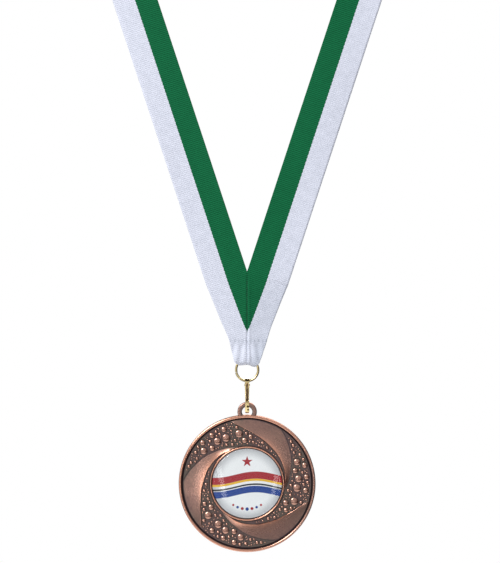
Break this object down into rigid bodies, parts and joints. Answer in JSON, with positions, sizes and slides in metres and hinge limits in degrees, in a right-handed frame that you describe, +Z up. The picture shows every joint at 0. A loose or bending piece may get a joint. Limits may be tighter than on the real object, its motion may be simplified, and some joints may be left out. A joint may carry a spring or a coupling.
{
  "type": "sports finisher medal",
  "caption": "Cast copper medal with a domed insert, hung by an eyelet, a gated strip clip and a jump ring from a two-tone woven neck ribbon.",
  "frame": {"origin": "where the ribbon's inner face rests on the nape of the wearer's neck, on the mid plane", "axes": "+Z up with the medal hanging down, the medal's face towards -Y (the wearer faces -Y), +X to the right of someone looking at the medal"},
  "size_m": [0.1616, 0.1481, 0.3199],
  "materials": {
    "woven_tape": "ribbed woven tape, outer half white and inner half green",
    "thread": "sewing thread",
    "gold_plate": "bright plated",
    "antique_copper": "antique copper plating, highlights polished",
    "adhesive": "double-sided adhesive",
    "printed_disc": "printed silver film",
    "clear_epoxy": "clear domed resin"
  },
  "bodies": {
    "ribbon": {"neck_ribbon": "woven_tape", "mitre_seam_thread_front": "thread", "mitre_seam_thread_back": "thread", "hem_thread_front": "thread", "hem_thread_back": "thread"},
    "ring": {"jump_ring": "gold_plate"},
    "clip": {"clip_body": "gold_plate", "clip_pin": "gold_plate"},
    "gate": {"clip_gate": "gold_plate"},
    "medal": {"medal_body": "antique_copper", "insert_adhesive": "adhesive", "printed_insert": "printed_disc", "epoxy_dome": "clear_epoxy"}
  },
  "joints": [
    {"name": "ring_swing", "type": "hinge", "parent": "ribbon", "child": "ring", "pos_m": [0, -0.1444, -0.24034], "axis": [1, 0, 0], "range_deg": [-23, 23]},
    {"name": "clip_swing", "type": "hinge", "parent": "ring", "child": "clip", "pos_m": [0, -0.1444, -0.24718], "axis": [1, 0, 0], "range_deg": [-75, 75]},
    {"name": "gate_open", "type": "hinge", "parent": "clip", "child": "gate", "pos_m": [0, -0.14649, -0.24855], "axis": [1, 0, 0], "range_deg": [0, 22], "stiffness_Nm_per_rad": 0.002, "springref_deg": -5.73},
    {"name": "medal_swing", "type": "hinge", "parent": "clip", "child": "medal", "pos_m": [0, -0.1444, -0.2576], "axis": [0, 1, 0], "range_deg": [-35, 35]}
  ]
}
